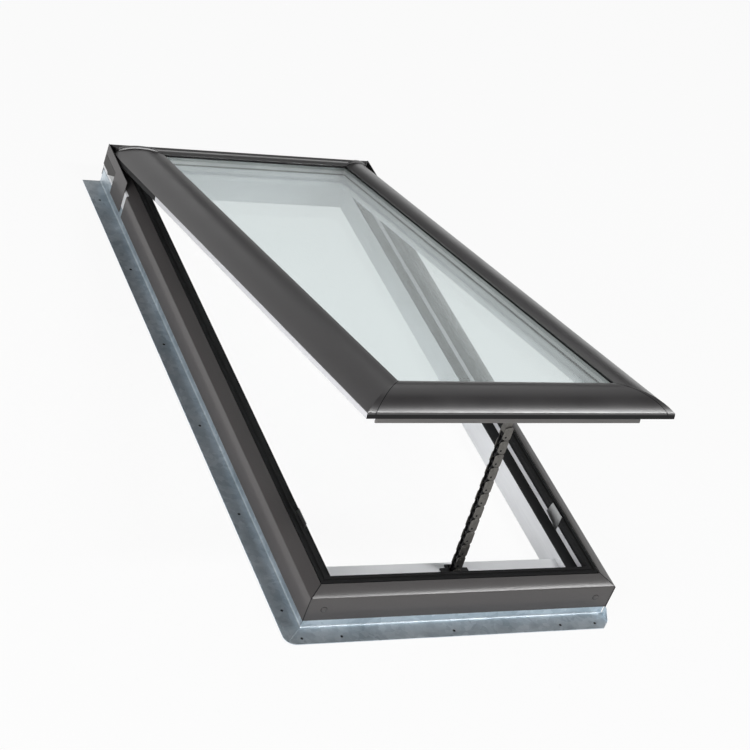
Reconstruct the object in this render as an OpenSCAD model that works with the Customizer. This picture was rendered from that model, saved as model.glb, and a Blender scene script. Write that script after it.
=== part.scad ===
// Top-hinged roof skylight with a push-chain opener, drawn with the sash open.
// X runs across the roof, +Y up the slope to the hinges, +Z out of the roof, and z = 0 is the roof deck.

/* [Frame] */
// Outside width of the frame
frame_w = 546; // [480:1:800]
// Outside length of the frame, up the slope
frame_l = 1175; // [1000:1:1400]
// Height of the frame's level top edge above the deck
frame_h = 71; // [62:0.5:85]
// Drop from the level top edge to the cladding's outer fold
fold_drop = 9.5; // [7:0.5:13]
// Distance from the outer face to the top of the sloping cladding
slope_w = 22; // [19:0.5:24]
// Distance from the outer face to the rebate's upright face
rebate_w = 39; // [37:0.5:41]
// Distance from the outer face to the jamb
jamb_w = 59; // [54:0.5:64]
// Drop from the level top edge to the wooden ledge in the rebate
ledge_drop = 24.5; // [24:0.5:30]
// Height of the cladding's lower edge
clad_z = 16; // [12:0.5:20]
// Thickness of the frame cladding
clad_t = 1.2; // [0.8:0.1:1.4]
// Rise of the hood on the top cladding above the level top edge
hood_rise = 12.5; // [8:0.5:18]
// Depth of the hood
hood_w = 12; // [9:0.5:13]

/* [Flange] */
// Reach of the flange beyond the frame's outer face
flange_reach = 33.5; // [25:0.5:45]
// Thickness of the flange sheet
flange_t = 1.2; // [0.8:0.1:2]
// Height of the flange's upstand behind the cladding
upstand_h = 28; // [22:1:36]
// Radius inside the flange's bend
bend_r = 2.5; // [1:0.5:4]
// Rounding of the bottom left corner of the flange
flange_corner_r = 18; // [8:1:25]
// Diameter of a nail hole
nail_d = 4; // [3:0.5:5]
// Distance from the frame's outer face to the nail holes
nail_line = 22; // [16:1:26]
// Spacing of the nail holes along the bottom
nail_pitch = 196; // [120:1:200]
// Spacing of the nail holes along the sides
side_nail_pitch = 214; // [150:1:220]
// Start of the right flange above the frame's bottom face
right_flange_start = 45; // [40:1:80]

/* [Hinge] */
// Opening angle of the sash as drawn
open_angle = 15.7; // [8:0.1:15.7]
// Distance from the frame's top face down the slope to the hinge axis
hinge_back = 50; // [48:0.5:55]
// Rise of the hinge axis above the frame's level top edge
hinge_rise = 0.8; // [0.6:0.1:4]
// Diameter of the hinge pin
pin_d = 6; // [5:0.5:7]
// Thickness of a hinge leaf
leaf_t = 2.5; // [2:0.1:2.8]
// Length of a hinge leaf along the slope
leaf_l = 56; // [40:1:70]
// Length of the hinge cover along the slope
hinge_cover_l = 126; // [100:1:160]
// Bare strip left between the hinge cover and the side cladding
cover_strip = 15; // [1:0.5:20]

/* [Sash] */
// Gap from the frame's outer face to the side edge of the shut sash
sash_side = 5.8; // [5:0.1:7]
// Gap from the frame's bottom face to the bottom edge of the shut sash
sash_front = 6.6; // [4:0.1:9]
// Reach of the sash above the hinge axis
sash_above = 32; // [24:0.5:33]
// Width of a side cover
side_cover_w = 76.8; // [70:0.2:84]
// Width of the bottom cover
bottom_cover_w = 66.6; // [62:0.2:74]
// Width of the top cover
top_cover_w = 57; // [52:0.5:62]
// Height of the covers' outer edge above the hinge axis
edge_h = 11.6; // [10:0.2:14]
// Height of the covers' glass edge above the hinge axis
lip_h = 32.8; // [30:0.2:36]
// Rise of the covers' arc above its chord
bulge = 9.5; // [7:0.1:11]
// Thickness of a cover's wall
cover_t = 2; // [1.4:0.1:2.4]
// Depth of the skirt on the side and bottom covers
skirt_h = 9; // [6:0.5:9]
// Depth of the skirt on the top cover
top_skirt_h = 3.6; // [2:0.2:4]
// Width of the corner pieces at the bottom edge
rim_w = 14; // [8:1:20]
// Width of the seam between two covers
seam = 0.6; // [0.3:0.1:1]
// Depth of the wooden sash below the hinge axis
sash_depth = 19.5; // [15:0.5:19.5]

/* [Glass] */
// Thickness of the outer pane
outer_pane_t = 4; // [3:0.5:6]
// Gap between the panes
pane_gap = 12; // [9:0.5:14]
// Thickness of the inner pane
inner_pane_t = 5; // [3:0.5:6]
// Overlap of the covers on the glass
glass_bite = 12; // [9:0.5:14]
// Height of the glazing gasket between glass and cover
glazing_h = 2.1; // [1.5:0.1:3]

/* [Chain opener] */
// Offset of the chain to the right of the frame's centre
chain_x = 14; // [-40:1:60]
// Pitch of the chain
chain_pitch = 12.6; // [11.5:0.1:13.5]
// Distance from the chain's pins to the round back edge of its plates
plate_back = 5.2; // [4.5:0.1:5.4]
// Distance from the chain's pins to the butting front edge of its plates
plate_front = 9; // [7:0.5:10]
// Diameter of a chain pin
chain_pin_d = 3.6; // [3:0.1:4]
// Thickness of a chain plate
plate_t = 1.6; // [1:0.1:1.8]
// Tilt of the chain from the deck's normal, towards the hinges
chain_tilt = 5.2; // [4:0.1:6]
// Distance of the bracket's cross pin behind the bottom edge of the glass
bracket_in = -3; // [-8:0.5:2]
// Depth of the bracket's cross pin below the hinge axis
bracket_drop = 29; // [28:0.5:30]
// Height of the operator cover's top face
ledge_cover_z = 34; // [32:0.5:34]
// Depth of the operator cover from the jamb
ledge_cover_d = 36; // [34:0.5:50]
// Distance from the jamb to the middle of the chain guide
guide_in = 16; // [15:0.5:18]

/* [Hidden] */
$fn = 64;
fit = 0.3;
running_fit = 0.05;
front_y = -frame_l / 2 + flange_reach / 2;
back_y = front_y + frame_l;
mid_y = (front_y + back_y) / 2;
half_w = frame_w / 2;
flange_end = 3;
ear_h = 15;
ear_flat = 4;
ear_reach = 19;
ear_tip = 2.5;
cut_l = frame_l;

// frame section, as distance from the outer face and height
fold_z = frame_h - fold_drop;
ledge_z = frame_h - ledge_drop;
hood_z = frame_h + hood_rise;
slope = (frame_h - fold_z) / slope_w;
gasket_base = 1.2;
gasket_h = 3;
wood_top = frame_h - gasket_h;
face_t = 2;
wood_in = clad_t + fit;
wood_drop = wood_in * sqrt(1 + slope * slope);
upstand_in = clad_t + 2 * fit;
upstand_room = 2;
upstand_clear = upstand_h + upstand_room;
ledge_gasket_t = 3;
gasket_leg_h = 12;
gasket_leg_z = frame_h - gasket_leg_h;
trim_z = ledge_z + ledge_gasket_t + fit;
mitre_gap = 0.2;
clad_path = [[0, clad_z], [0, fold_z], [slope_w, frame_h]];
hood_path = [
    [0, clad_z],
    [0, hood_z],
    [hood_w, hood_z],
    [hood_w, fold_z + slope * hood_w],
    [slope_w, frame_h]
];
screw_d = 9;
screw_h = 1.2;
screw_in = 29;
screw_z = (clad_z + fold_z) / 2;

// hinge
hinge_y = back_y - hinge_back;
hinge_z = frame_h + hinge_rise;
eye_wall = 4;
sash_eye_wall = 2;
eye_r = pin_d / 2 + eye_wall;
sash_eye_r = pin_d / 2 + sash_eye_wall;
pin_room = 1.5;
leaf_h = 22;
leaf_top_gap = 3.5;
leaf_top = fold_z - leaf_top_gap;
leaf_low = leaf_top - leaf_h;
skirt_gap = 1.2;
pin_end = 1;
leaf_in = sash_side + cover_t + skirt_gap;
pin_l = leaf_in + leaf_t + pin_end - wood_in;
cover_cut_y = back_y - hinge_cover_l;
cover_lift = 1;
cover_z = clad_z + cover_lift;
notch_l = 64;
notch_z = 62;
return_low = 39;
return_tip = [32, 35];
return_step = 5;
return_front = 53;

// sash, measured along the sash from the hinge axis: u up the slope, n out of the roof
cap_in = 6;
cap_lap = 1.5;
cap_w = 7;
cap_rise = 3.5;
sash_w = frame_w - 2 * sash_side;
u_top = sash_above;
u_bottom = -(frame_l - hinge_back - sash_front);
rim_tip = 1.5;
glass_x = sash_w / 2 - side_cover_w;
glass_top = u_top - top_cover_w;
glass_bottom = u_bottom + bottom_cover_w;
glazing_fit = 0.2;
glass_n = lip_h - cover_t - glazing_h - glazing_fit;
pane_n = glass_n - outer_pane_t - pane_gap - inner_pane_t;
tape_h = 1.5;
bed_n = pane_n - tape_h;
sash_clear = 2;
sash_lip = 2;
upstand_gap = 6.5;
upstand_n = glass_n - upstand_gap;
sash_x = half_w - rebate_w - sash_clear;
sash_u_top = hinge_back - rebate_w - sash_clear;
strip_t = 2.8;
strip_u = -(frame_l - hinge_back - rebate_w - sash_clear);
strip_drop = 1.4;
strip_low = sash_depth + strip_drop;
strip_high = 8;
sash_u_bottom = strip_u + strip_t + fit;
glazing_lip = 0.8;
glazing_back = 5;
spacer_w = 9;
spacer_in = 2;

// guide clips on the inner trim
clip_y = 145;
clip_l = 42;
clip_t = 1;
clip_rise = 8;
clip_top = frame_h + clip_rise;
clip_rake = 6;
trim_end = 6;

// chain, in its own frame at the bracket's cross pin
bracket_u = glass_bottom + bracket_in;
bracket_y = hinge_y + bracket_u * cos(open_angle) - bracket_drop * sin(open_angle);
bracket_z = hinge_z - bracket_u * sin(open_angle) - bracket_drop * cos(open_angle);
cross_pin_d = 6;
first_pin = 16;
pocket_floor = 8;
chain_end_gap = 3;
plate_gap = 0.4;
plate_end = (chain_pitch - plate_gap) / 2;
shoulder_r = 4;
chain_drop = bracket_z - pocket_floor - chain_end_gap - first_pin - plate_end;
chain_pin_count = 1 + floor(chain_drop / chain_pitch);
inner_plate_y = 3.4;
outer_plate_y = inner_plate_y + plate_t + fit;
chain_pin_head = 0.5;
chain_pin_l = 2 * (outer_plate_y + plate_t + chain_pin_head);
roller_d = 7;
chain_w = plate_back + plate_front;
chain_mid = (plate_front - plate_back) / 2;
end_w = 11;
end_r = 5;
tongue_t = 2 * (outer_plate_y - fit);
lug_t = 2.5;
lug_gap = fit;
bracket_base = 2;
bracket_l = 22;
guide_y = front_y + jamb_w + guide_in;
slot_clear = 1.2;
swing_room = 4.7;
collar_wall = [4.7, 2];
guide_slot = [chain_w + 2 * slot_clear, chain_pin_l + 2 * swing_room];
guide_collar = guide_slot + 2 * collar_wall;
guide_x = chain_x + chain_mid;
guide_wings = [50, 12];
guide_t = 2.5;
cover_wall = 2.5;
housing_left = 45;
housing_right = 150;
housing_floor = 4;
pocket_clear = [1.2, 0.5];
pocket = guide_slot + 2 * pocket_clear;

// A path moved sideways by t, to the right of its direction, with mitred bends
function unit(v) = v / norm(v);
function right_of(v) = [v[1], -v[0]];
function heading(path, i) = unit(path[i + 1] - path[i]);
function moved_point(path, i, t) =
    let (last = len(path) - 1)
    let (a = right_of(heading(path, max(i - 1, 0))))
    let (b = right_of(heading(path, min(i, last - 1))))
    let (m = unit(a + b))
    path[i] + m * t / (m * a);
function moved_path(path, t) = [for (i = [0 : len(path) - 1]) moved_point(path, i, t)];
function backwards(path) = [for (i = [len(path) - 1 : -1 : 0]) path[i]];

// Folded sheet: the section follows the path and is t thick
module sheet(path, t) {
    polygon(concat(path, backwards(moved_path(path, t))));
}

// Runs of a section that is drawn as distance inward and height
module along_y(length) {
    rotate([90, 0, 0]) linear_extrude(length, center = true) children();
}

module along_x(length) {
    rotate([90, 0, 90]) linear_extrude(length, center = true) children();
}

module left_run() {
    translate([-half_w, mid_y, 0]) along_y(frame_l + 2 * flange_reach) children();
}

module bottom_run() {
    translate([0, front_y, 0]) along_x(frame_w + 2 * flange_reach) children();
}

module top_run(length) {
    translate([0, back_y, 0]) mirror([0, 1, 0]) along_x(length) children();
}

// Plan areas that end a run in 45 degree mitres at the frame's corners
module left_mitre() {
    reach = flange_reach;
    depth = frame_w / 4;
    translate([0, 0, -1]) linear_extrude(cut_l) polygon([
        [-half_w - reach, front_y - reach + mitre_gap],
        [-half_w + depth, front_y + depth + mitre_gap],
        [-half_w + depth, back_y - depth - mitre_gap],
        [-half_w - reach, back_y + reach - mitre_gap]
    ]);
}

module bottom_mitre() {
    reach = flange_reach;
    depth = frame_w / 4;
    translate([0, 0, -1]) linear_extrude(cut_l) polygon([
        [-half_w - reach + mitre_gap, front_y - reach],
        [half_w + reach - mitre_gap, front_y - reach],
        [half_w - depth - mitre_gap, front_y + depth],
        [-half_w + depth + mitre_gap, front_y + depth]
    ]);
}

module top_mitre() {
    translate([0, 2 * mid_y, 0]) mirror([0, 1, 0]) bottom_mitre();
}

// Closed ring between two distances from the frame's outer face
module frame_ring(w1, w2, z1, z2) {
    translate([0, mid_y, z1]) linear_extrude(z2 - z1) difference() {
        square([frame_w - 2 * w1, frame_l - 2 * w1], center = true);
        square([frame_w - 2 * w2, frame_l - 2 * w2], center = true);
    }
}

// Wooden frame member: jamb, ledge, rebate and a slope under the cladding
module wood_section() {
    slope_foot = wood_in;
    slope_head = (wood_top - fold_z + wood_drop) / slope;
    polygon([
        [upstand_in + flange_t + fit, 0],
        [jamb_w, 0],
        [jamb_w, ledge_z],
        [rebate_w - face_t, ledge_z],
        [rebate_w - face_t, wood_top],
        [slope_head, wood_top],
        [slope_foot, fold_z + slope * slope_foot - wood_drop],
        [slope_foot, upstand_clear],
        [upstand_in + flange_t + fit, upstand_clear]
    ]);
}

// Recess in the wood for the frame's hinge leaf
module leaf_recess() {
    depth = leaf_t + fit;
    translate([-half_w, hinge_y - leaf_l / 2 - fit, leaf_low - fit])
        cube([wood_in + depth, leaf_l + 2 * fit, frame_h - leaf_low]);
}

module frame_left() {
    color("white") difference() {
        intersection() {
            left_run() wood_section();
            left_mitre();
        }
        leaf_recess();
    }
}

module frame_right() {
    mirror([1, 0, 0]) frame_left();
}

module frame_bottom() {
    color("white") intersection() {
        bottom_run() wood_section();
        bottom_mitre();
    }
}

module frame_top() {
    color("white") intersection() {
        top_run(frame_w) wood_section();
        top_mitre();
    }
}

// Cladding: the side lengths lose their outer face beside the hinge covers
module cladding_left() {
    neck = 2 * eye_r + 2;
    color("dimgray") difference() {
        intersection() {
            left_run() sheet(clad_path, clad_t);
            left_mitre();
        }
        translate([-half_w - 1, cover_cut_y - cover_strip, 0])
            cube([clad_t + 1 + fit, hinge_cover_l + cover_strip + 1, hood_z]);
        translate([-half_w - 1, hinge_y - neck / 2, leaf_low])
            cube([wood_in + leaf_t + 1 + fit, neck, frame_h]);
    }
}

module cladding_right() {
    mirror([1, 0, 0]) cladding_left();
}

module screw_places() {
    for (side = [-1, 1])
        translate([side * (half_w - screw_in), front_y, screw_z]) rotate([90, 0, 0]) children();
}

module cladding_bottom() {
    color("dimgray") intersection() {
        bottom_run() sheet(clad_path, clad_t);
        bottom_mitre();
    }
}

module cladding_top() {
    color("dimgray") intersection() {
        top_run(frame_w - 2 * (clad_t + fit)) sheet(hood_path, clad_t);
        top_mitre();
    }
}

// Low round screw heads on the bottom face
module cladding_screws() {
    color("dimgray") screw_places() cylinder(d = screw_d, h = screw_h);
}

// Flat plate over the hinge, notched at the back where the wood shows
module hinge_cover_left() {
    color("dimgray") translate([-half_w, 0, 0]) rotate([90, 0, 90]) linear_extrude(clad_t) difference() {
        translate([cover_cut_y, cover_z]) square([hinge_cover_l, hood_z - cover_z]);
        translate([back_y - notch_l, 0]) square([notch_l + 1, notch_z]);
    }
}

module hinge_cover_right() {
    mirror([1, 0, 0]) hinge_cover_left();
}

// End of the rear cladding, turned round the corner below the hinge cover, with a raked lower edge
module hood_return_left() {
    top = notch_z - fit;
    front = back_y - notch_l + fit;
    tip_y = back_y - return_tip[0];
    color("dimgray") translate([-half_w, 0, 0]) rotate([90, 0, 90]) linear_extrude(clad_t) polygon([
        [front, return_front], [tip_y, return_tip[1]], [tip_y + return_step, return_low],
        [back_y, return_low], [back_y, top], [front, top]
    ]);
}

module hood_return_right() {
    mirror([1, 0, 0]) hood_return_left();
}

// Galvanised angle: a flat leg on the deck, a round bend and an upstand against the wood
module flange_section() {
    bend = [upstand_in - bend_r, flange_t + bend_r];
    translate([-flange_reach, 0]) square([flange_reach + bend[0], flange_t]);
    translate([upstand_in, bend[1]]) square([flange_t, upstand_h - bend[1]]);
    intersection() {
        translate(bend) difference() {
            circle(bend_r + flange_t);
            circle(bend_r);
        }
        translate([bend[0], 0]) square(bend[1]);
    }
}

module nail_hole(x, y) {
    translate([x, y, -1]) cylinder(d = nail_d, h = flange_t + 2);
}

// Round-cornered cut at the bottom left of the flange
module corner_cut() {
    r = flange_corner_r;
    translate([-half_w - flange_reach, front_y - flange_reach, -1]) linear_extrude(flange_t + 2)
        difference() {
            translate([-1, -1]) square(r + 1);
            translate([r, r]) circle(r);
        }
}

module flange_left() {
    color("lightsteelblue") difference() {
        intersection() {
            left_run() flange_section();
            left_mitre();
        }
        corner_cut();
        translate([-half_w - flange_reach - 1, back_y - flange_end, -1])
            cube([2 * flange_reach, 2 * flange_reach, cut_l]);
        for (y = [front_y + nail_line * 1.7 : side_nail_pitch : back_y - nail_line])
            nail_hole(-half_w - nail_line * 0.75, y);
    }
}

module flange_right() {
    color("lightsteelblue") mirror([1, 0, 0]) difference() {
        left_run() flange_section();
        translate([-half_w - flange_reach - 1, back_y - flange_end, -1])
            cube([2 * flange_reach, 2 * flange_reach, cut_l]);
        translate([-half_w - flange_reach - 1, front_y - 2 * flange_reach, -1])
            cube([2 * flange_reach, 2 * flange_reach + right_flange_start, cut_l]);
        for (y = [front_y + right_flange_start + nail_line : side_nail_pitch : back_y - nail_line])
            nail_hole(-half_w - nail_line * 0.75, y);
    }
}

// The bottom length ends in a mitre on the left and a clipped end on the right
module flange_bottom() {
    end_x = half_w + clad_t;
    clip = flange_reach * 0.42;
    color("lightsteelblue") difference() {
        union() {
            intersection() {
                bottom_run() flange_section();
                bottom_mitre();
            }
            translate([end_x - flange_t, front_y, 0]) rotate([90, 0, 90]) linear_extrude(flange_t)
                polygon([
                    [upstand_in, 0], [upstand_in, ear_h], [-ear_flat, ear_h],
                    [-ear_reach, ear_tip], [-ear_reach, 0]
                ]);
        }
        corner_cut();
        translate([end_x, front_y - 2 * flange_reach, -1]) cube([2 * flange_reach, 3 * flange_reach, cut_l]);
        translate([end_x, front_y - flange_reach, -1]) rotate([0, 0, 45])
            cube([clip * sqrt(2), clip * sqrt(2), 2 * (flange_t + 1)], center = true);
        for (x = [-half_w + 3 * nail_line - 3 : nail_pitch : half_w - 3 * nail_line])
            nail_hole(x, front_y - nail_line);
        nail_hole(-half_w - 4, front_y - nail_line);
        nail_hole(half_w - nail_line - 3, front_y - nail_line);
    }
}

// Ridged gasket on the frame's top edge, with a leg down the rebate
module frame_gasket() {
    start = slope_w + fit;
    ridge = 4.5;
    lead = 1.7;
    inner_ridge = 6;
    color("black") union() {
        frame_ring(start, rebate_w, wood_top, wood_top + gasket_base);
        frame_ring(start + lead, start + lead + ridge, wood_top, frame_h);
        frame_ring(rebate_w - inner_ridge, rebate_w, wood_top, frame_h + fit);
        frame_ring(rebate_w - face_t, rebate_w, gasket_leg_z, frame_h);
    }
}

module ledge_gasket() {
    color("black") frame_ring(rebate_w - face_t, jamb_w - fit, ledge_z, ledge_z + ledge_gasket_t);
}

// Light strip on the rebate's upright face
module inner_trim_left() {
    length = frame_l - 2 * rebate_w - 2 * trim_end;
    color("gainsboro") translate([-half_w + rebate_w - face_t, mid_y - length / 2, trim_z])
        cube([face_t, length, gasket_leg_z - trim_z - fit]);
}

module inner_trim_right() {
    mirror([1, 0, 0]) inner_trim_left();
}

// Bright plate that steers the sash between the trims
module guide_clip_left() {
    y = front_y + clip_y;
    color("silver") translate([-half_w + rebate_w, 0, 0]) rotate([90, 0, 90]) linear_extrude(clip_t) polygon([
        [y, trim_z],
        [y + clip_l, trim_z + clip_rake],
        [y + clip_l - clip_rake, clip_top],
        [y, clip_top]
    ]);
}

module guide_clip_right() {
    mirror([1, 0, 0]) guide_clip_left();
}

// Closed gear and chain store against the bottom jamb, with a pocket under the guide
module operator_housing() {
    y = front_y + jamb_w;
    depth = ledge_cover_d - cover_wall - fit;
    height = ledge_cover_z - cover_wall - fit - housing_floor;
    color("dimgray") difference() {
        translate([chain_x - housing_left, y, housing_floor])
            cube([housing_left + housing_right, depth, height]);
        translate([guide_x - pocket[0] / 2, guide_y - pocket[1] / 2, pocket_floor])
            cube([pocket[0], pocket[1], cut_l]);
    }
}

// White angle over the operator, from jamb to jamb
module operator_cover() {
    y = front_y + jamb_w;
    length = frame_w - 2 * jamb_w - 2 * fit;
    color("white") difference() {
        translate([-length / 2, y + fit, 0]) rotate([90, 0, 90]) linear_extrude(length) difference() {
            square([ledge_cover_d - fit, ledge_cover_z]);
            translate([-1, -1])
                square([ledge_cover_d - fit - cover_wall + 1, ledge_cover_z - cover_wall + 1]);
        }
        translate([guide_x - guide_collar[0] / 2 - fit, guide_y - guide_collar[1] / 2 - fit, 0])
            cube([guide_collar[0] + 2 * fit, guide_collar[1] + 2 * fit, cut_l]);
    }
}

// Collar with a slot for the chain and two wings on the cover
module chain_guide() {
    top = ledge_cover_z + guide_t;
    color("black") translate([guide_x, guide_y, 0]) difference() {
        union() {
            translate([0, 0, ledge_cover_z - cover_wall]) linear_extrude(guide_t + cover_wall)
                square(guide_collar, center = true);
            translate([0, 0, ledge_cover_z]) linear_extrude(guide_t) square(guide_wings, center = true);
        }
        translate([0, 0, -1]) linear_extrude(top + 2) square(guide_slot, center = true);
    }
}

// Hinge leaf let into the frame's outer side, with an eye above the cladding
module hinge_leaf_frame_left() {
    neck = 2 * eye_r;
    color("silver") translate([-half_w + wood_in, hinge_y, 0]) rotate([90, 0, 90]) linear_extrude(leaf_t)
        difference() {
            union() {
                translate([-leaf_l / 2, leaf_low]) square([leaf_l, leaf_top - leaf_low]);
                translate([-neck / 2, leaf_low]) square([neck, hinge_z - leaf_low]);
                translate([0, hinge_z]) circle(eye_r);
            }
            translate([0, hinge_z]) circle(d = pin_d + 2 * running_fit);
        }
}

module hinge_leaf_frame_right() {
    mirror([1, 0, 0]) hinge_leaf_frame_left();
}

module hinge_pins() {
    color("silver") for (side = [0, 1])
        mirror([side, 0, 0]) translate([-half_w + wood_in, hinge_y, hinge_z]) rotate([0, 90, 0])
            cylinder(d = pin_d, h = pin_l);
}

// Places a piece that is drawn along the sash from the hinge axis
module on_sash() {
    translate([0, hinge_y, hinge_z]) rotate([-open_angle, 0, 0]) children();
}

// Box between two places across, along and out of the sash
module sash_box(x1, x2, u1, u2, n1, n2) {
    translate([x1, u1, n1]) cube([x2 - x1, u2 - u1, n2 - n1]);
}

// Ring round the glass opening between two distances outward
module glass_ring(inner, outer, n1, n2) {
    translate([0, 0, n1]) linear_extrude(n2 - n1) difference() {
        glass_area(outer);
        glass_area(inner);
    }
}

module glass_area(grow) {
    translate([-glass_x - grow, glass_bottom - grow])
        square([2 * (glass_x + grow), glass_top - glass_bottom + 2 * grow]);
}

// Sash leaf: an arm with an eye beside the skirt, and a shelf that is screwed to the sash
module hinge_leaf_sash_left() {
    arm_back = 3;
    arm_low = 2;
    shelf_n = edge_h - cover_t;
    shelf_start = 6;
    foot_n = 1;
    foot_t = sash_clear - 0.6;
    inside = -half_w + leaf_in;
    color("silver") on_sash() {
        translate([inside, 0, 0]) rotate([90, 0, 90]) linear_extrude(leaf_t) difference() {
            union() {
                circle(sash_eye_r);
                translate([-leaf_l * 0.8, -arm_low]) square([leaf_l * 0.8 + arm_back, shelf_n + arm_low]);
            }
            circle(d = pin_d + 2 * running_fit);
        }
        sash_box(inside, -sash_x, -leaf_l * 0.8, -shelf_start, shelf_n - leaf_t, shelf_n);
        sash_box(-sash_x - foot_t, -sash_x, -leaf_l * 0.8, -shelf_start, foot_n, shelf_n);
    }
}

module hinge_leaf_sash_right() {
    mirror([1, 0, 0]) hinge_leaf_sash_left();
}

// Wooden sash: a bed under the glass unit and an upstand round its edge, from the distance outward
module sash_section(outer) {
    edge = glass_bite + 2;
    polygon([
        [-sash_lip, -sash_depth],
        [outer, -sash_depth],
        [outer, upstand_n],
        [edge, upstand_n],
        [edge, bed_n],
        [-sash_lip, bed_n]
    ]);
}

module sash_left() {
    length = sash_u_top - sash_u_bottom;
    color("white") on_sash()
        translate([-glass_x, (sash_u_top + sash_u_bottom) / 2, 0]) mirror([1, 0, 0])
            along_y(length) sash_section(sash_x - glass_x);
}

module sash_right() {
    mirror([1, 0, 0]) sash_left();
}

module sash_bottom() {
    color("white") on_sash() translate([0, glass_bottom, 0]) mirror([0, 1, 0])
        along_x(2 * (glass_x - sash_lip)) sash_section(glass_bottom - sash_u_bottom);
}

module sash_top() {
    color("white") on_sash() translate([0, glass_top, 0])
        along_x(2 * (glass_x - sash_lip)) sash_section(sash_u_top - glass_top);
}

module sash_bottom_strip() {
    color("gray") on_sash()
        sash_box(-sash_x, sash_x, strip_u, strip_u + strip_t, -strip_low, -strip_high);
}

// Cover section: a round-backed shell on a chord from the outer edge to the glass, and a skirt
function chord(width) = [width, lip_h - edge_h];
function arc_r(width) = (pow(norm(chord(width)), 2) / 4 + bulge * bulge) / (2 * bulge);
function arc_centre(width) =
    [0, edge_h] + chord(width) / 2 + right_of(chord(width)) / norm(chord(width)) * (arc_r(width) - bulge);

module cover_section(width, skirt) {
    intersection() {
        translate(arc_centre(width)) difference() {
            circle(arc_r(width), $fn = 128);
            circle(arc_r(width) - cover_t, $fn = 128);
        }
        translate([0, edge_h - cover_t]) square([width, lip_h]);
    }
    translate([0, edge_h - skirt]) square([cover_t, skirt]);
}

module left_cover_run() {
    translate([-sash_w / 2, (u_top + u_bottom) / 2, 0]) along_y(u_top - u_bottom)
        cover_section(side_cover_w, skirt_h);
}

module bottom_cover_run() {
    translate([0, u_bottom, 0]) along_x(sash_w) cover_section(bottom_cover_w, skirt_h);
}

module top_cover_run() {
    translate([0, u_top, 0]) mirror([0, 1, 0]) along_x(sash_w) cover_section(top_cover_w, top_skirt_h);
}

module plan(points) {
    translate([0, 0, -cut_l / 2]) linear_extrude(cut_l) polygon(points);
}

// The side covers end on the hips
module cover_left() {
    color("dimgray") on_sash() difference() {
        intersection() {
            left_cover_run();
            plan([
                [-sash_w / 2, u_bottom + seam / 2],
                [-glass_x, glass_bottom + seam / 2],
                [-glass_x, glass_top],
                [-sash_w / 2, u_top - seam / 2]
            ]);
        }
        rotate([0, -90, 0]) cylinder(r = pin_d / 2 + pin_room, h = sash_w);
    }
}

// Caps over the top corners stand on the side covers along the hips and reach over the top cover
module cover_cap_left() {
    r = arc_r(side_cover_w);
    slope = (u_top - glass_top) / side_cover_w;
    far = side_cover_w - cap_in;
    near_u = u_top - slope * cap_in;
    far_u = u_top - slope * far;
    color("dimgray") on_sash() difference() {
        intersection() {
            translate([-sash_w / 2, (u_top + u_bottom) / 2, 0]) along_y(u_top - u_bottom)
                translate(arc_centre(side_cover_w)) difference() {
                    circle(r + cap_rise, $fn = 128);
                    circle(r, $fn = 128);
                }
            plan([
                [-sash_w / 2 + cap_in, near_u - cap_lap],
                [-sash_w / 2 + far, far_u - cap_lap],
                [-sash_w / 2 + far, far_u + cap_w],
                [-sash_w / 2 + cap_in, near_u + cap_w]
            ]);
            sash_box(-half_w, half_w, u_bottom, u_top, edge_h, frame_h);
        }
        mitred_top_cover();
    }
}

module cover_cap_right() {
    mirror([1, 0, 0]) cover_cap_left();
}

// Narrow corner pieces carry the bottom cover's shape out to the hips
module cover_corner_left() {
    color("dimgray") on_sash() intersection() {
        bottom_cover_run();
        plan([
            [-sash_w / 2, u_bottom],
            [-sash_w / 2 + rim_w, u_bottom],
            [-glass_x + rim_tip, glass_bottom],
            [-glass_x, glass_bottom]
        ]);
    }
}

module cover_corner_right() {
    mirror([1, 0, 0]) cover_corner_left();
}

module cover_right() {
    mirror([1, 0, 0]) cover_left();
}

module cover_bottom() {
    outer = sash_w / 2 - rim_w - seam;
    inner = glass_x - rim_tip - seam;
    color("dimgray") on_sash() intersection() {
        bottom_cover_run();
        plan([
            [-outer, u_bottom],
            [outer, u_bottom],
            [inner, glass_bottom],
            [-inner, glass_bottom]
        ]);
    }
}

module mitred_top_cover() {
    outer = sash_w / 2 - seam;
    inner = glass_x - seam;
    intersection() {
        top_cover_run();
        plan([
            [-outer, u_top],
            [outer, u_top],
            [inner, glass_top],
            [-inner, glass_top]
        ]);
    }
}

module cover_top() {
    color("dimgray") on_sash() mitred_top_cover();
}

// Insulating glass: two panes and a spacer on a bed of tape
module glass_outer() {
    color("lightcyan", 0.4) on_sash()
        translate([0, 0, glass_n - outer_pane_t]) linear_extrude(outer_pane_t) glass_area(glass_bite);
}

module glass_inner() {
    color("lightcyan", 0.4) on_sash()
        translate([0, 0, pane_n]) linear_extrude(inner_pane_t) glass_area(glass_bite);
}

module glass_spacer() {
    outer = glass_bite - spacer_in;
    low = pane_n + inner_pane_t;
    color("silver") on_sash() glass_ring(outer - spacer_w, outer, low, low + pane_gap);
}

module glazing_gasket() {
    color("black") on_sash()
        glass_ring(-glazing_lip, glass_bite - glazing_back, glass_n, glass_n + glazing_h);
}

module glazing_tape() {
    color("black") on_sash() glass_ring(0, glass_bite, bed_n, pane_n);
}

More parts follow.
